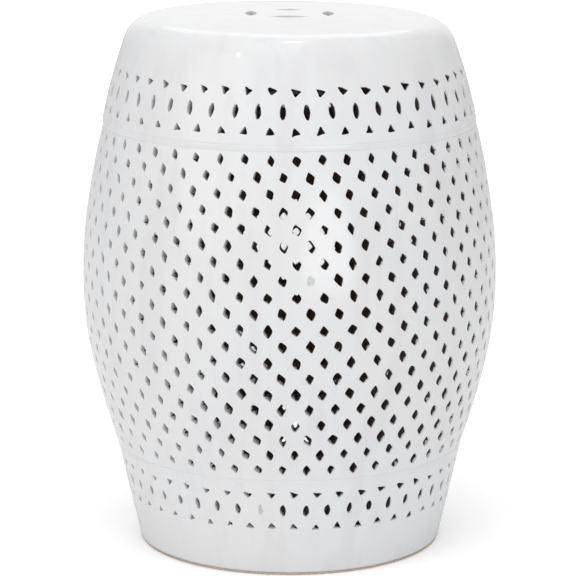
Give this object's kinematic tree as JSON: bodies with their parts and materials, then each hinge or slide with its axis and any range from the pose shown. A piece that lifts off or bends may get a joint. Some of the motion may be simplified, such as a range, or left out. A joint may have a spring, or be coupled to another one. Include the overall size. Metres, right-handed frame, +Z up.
{
  "type": "ceramic garden stool",
  "caption": "Hollow drum shaped ceramic garden stool in white glaze, with a hand cut diamond lattice, pierced collar and base bands, and a coin pattern hand hold in its domed seat.",
  "frame": {"origin": "on the floor, under the middle of the stool", "axes": "+Z up along the axis of the drum; -Y towards the picture's viewer, +X to the viewer's right"},
  "size_m": [0.3564, 0.3564, 0.4572],
  "materials": {
    "white_glaze": "gloss white glaze over stoneware",
    "bare_clay": "bare buff clay, wiped clean of glaze",
    "inner_clay": "unglazed brown clay inside"
  },
  "bodies": {
    "root": {"seat_plate": "white_glaze", "shoulder_collar": "white_glaze", "upper_seam_bead": "white_glaze", "lattice_barrel": "white_glaze", "lower_seam_bead": "white_glaze", "pierced_base": "white_glaze", "foot_ring": "bare_clay", "base_flange": "inner_clay", "upper_inner_coil": "inner_clay", "lower_inner_coil": "inner_clay"}
  },
  "joints": []
}
